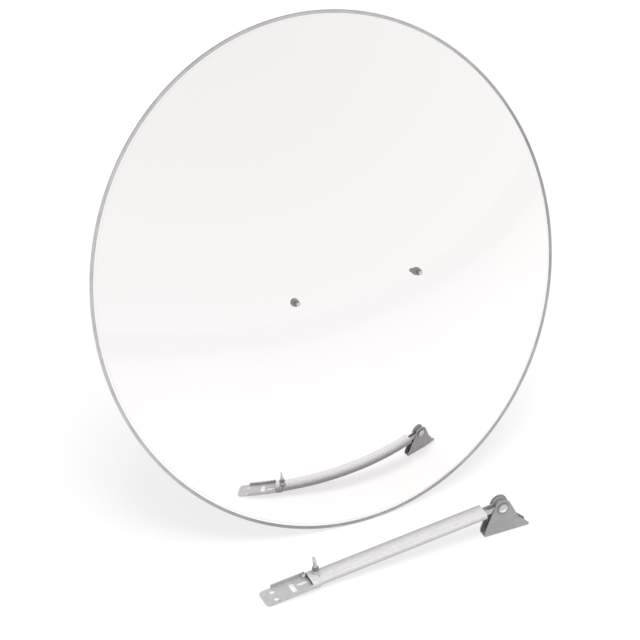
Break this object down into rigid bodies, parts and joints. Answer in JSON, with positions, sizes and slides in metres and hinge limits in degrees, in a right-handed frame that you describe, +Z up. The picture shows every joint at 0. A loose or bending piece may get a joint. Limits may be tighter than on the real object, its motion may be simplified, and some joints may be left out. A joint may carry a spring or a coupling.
{
  "type": "satellite dish reflector with feed arm",
  "caption": "Oval mirror-polished dish reflector leaning back on its rim, dome side forward, with a separate feed arm with sliding tongue and tilting foot in front.",
  "frame": {"origin": "middle of the two studs on the dome side that a mast bracket bolts to, a few millimetres in front of the crown", "axes": "+Z up with the dish leaning 19.5 degrees back, +X across the dish and along the feed arm towards its foot, +Y back from the dome side to the hollow side"},
  "size_m": [0.806, 0.4188, 0.7999],
  "materials": {
    "mirror_sheet": "mirror polished",
    "rim_metal": "satin rolled edge",
    "arm_zinc": "bright zinc plate",
    "plate_zinc": "dull zinc plate",
    "fastener_zinc": "zinc plate",
    "fastener_dark": "dark plated steel",
    "seal_rubber": "matte",
    "bush_nylon": "moulded"
  },
  "bodies": {
    "reflector": {"reflector_shell": "mirror_sheet", "rim_bead": "rim_metal", "reflector_bolts": "fastener_zinc", "front_seals": "seal_rubber", "back_seals": "seal_rubber", "reflector_washers": "fastener_zinc", "reflector_nuts": "fastener_dark"},
    "arm": {"arm_tube": "arm_zinc", "tube_collar": "arm_zinc", "tube_bush": "bush_nylon", "clamp_boss": "fastener_zinc", "clamp_washer": "fastener_zinc", "end_fitting": "plate_zinc", "end_rivets": "fastener_zinc", "pivot_rivet": "fastener_dark", "pivot_washers": "fastener_zinc"},
    "tongue": {"feed_tongue": "plate_zinc", "stop_screw": "fastener_zinc", "stop_nut": "fastener_zinc"},
    "clamp": {"clamp_screw": "fastener_zinc", "clamp_nut": "fastener_dark"},
    "foot": {"foot_ears": "plate_zinc", "foot_sole": "plate_zinc"}
  },
  "joints": [
    {"name": "arm_lift", "type": "slide", "parent": "reflector", "child": "arm", "axis": [0, 0, 1], "range_m": [0, 0.25]},
    {"name": "tongue_slide", "type": "slide", "parent": "arm", "child": "tongue", "axis": [-0.9936, 0, -0.1132], "range_m": [0, 0.048]},
    {"name": "clamp_turn", "type": "hinge", "parent": "arm", "child": "clamp", "pos_m": [-0.14109, -0.1413, -0.42572], "axis": [-0.1132, 0, 0.9936], "continuous": true},
    {"name": "foot_tilt", "type": "hinge", "parent": "arm", "child": "foot", "pos_m": [0.18779, -0.1443, -0.38825], "axis": [0, 1, 0], "range_deg": [-35, 22]}
  ]
}
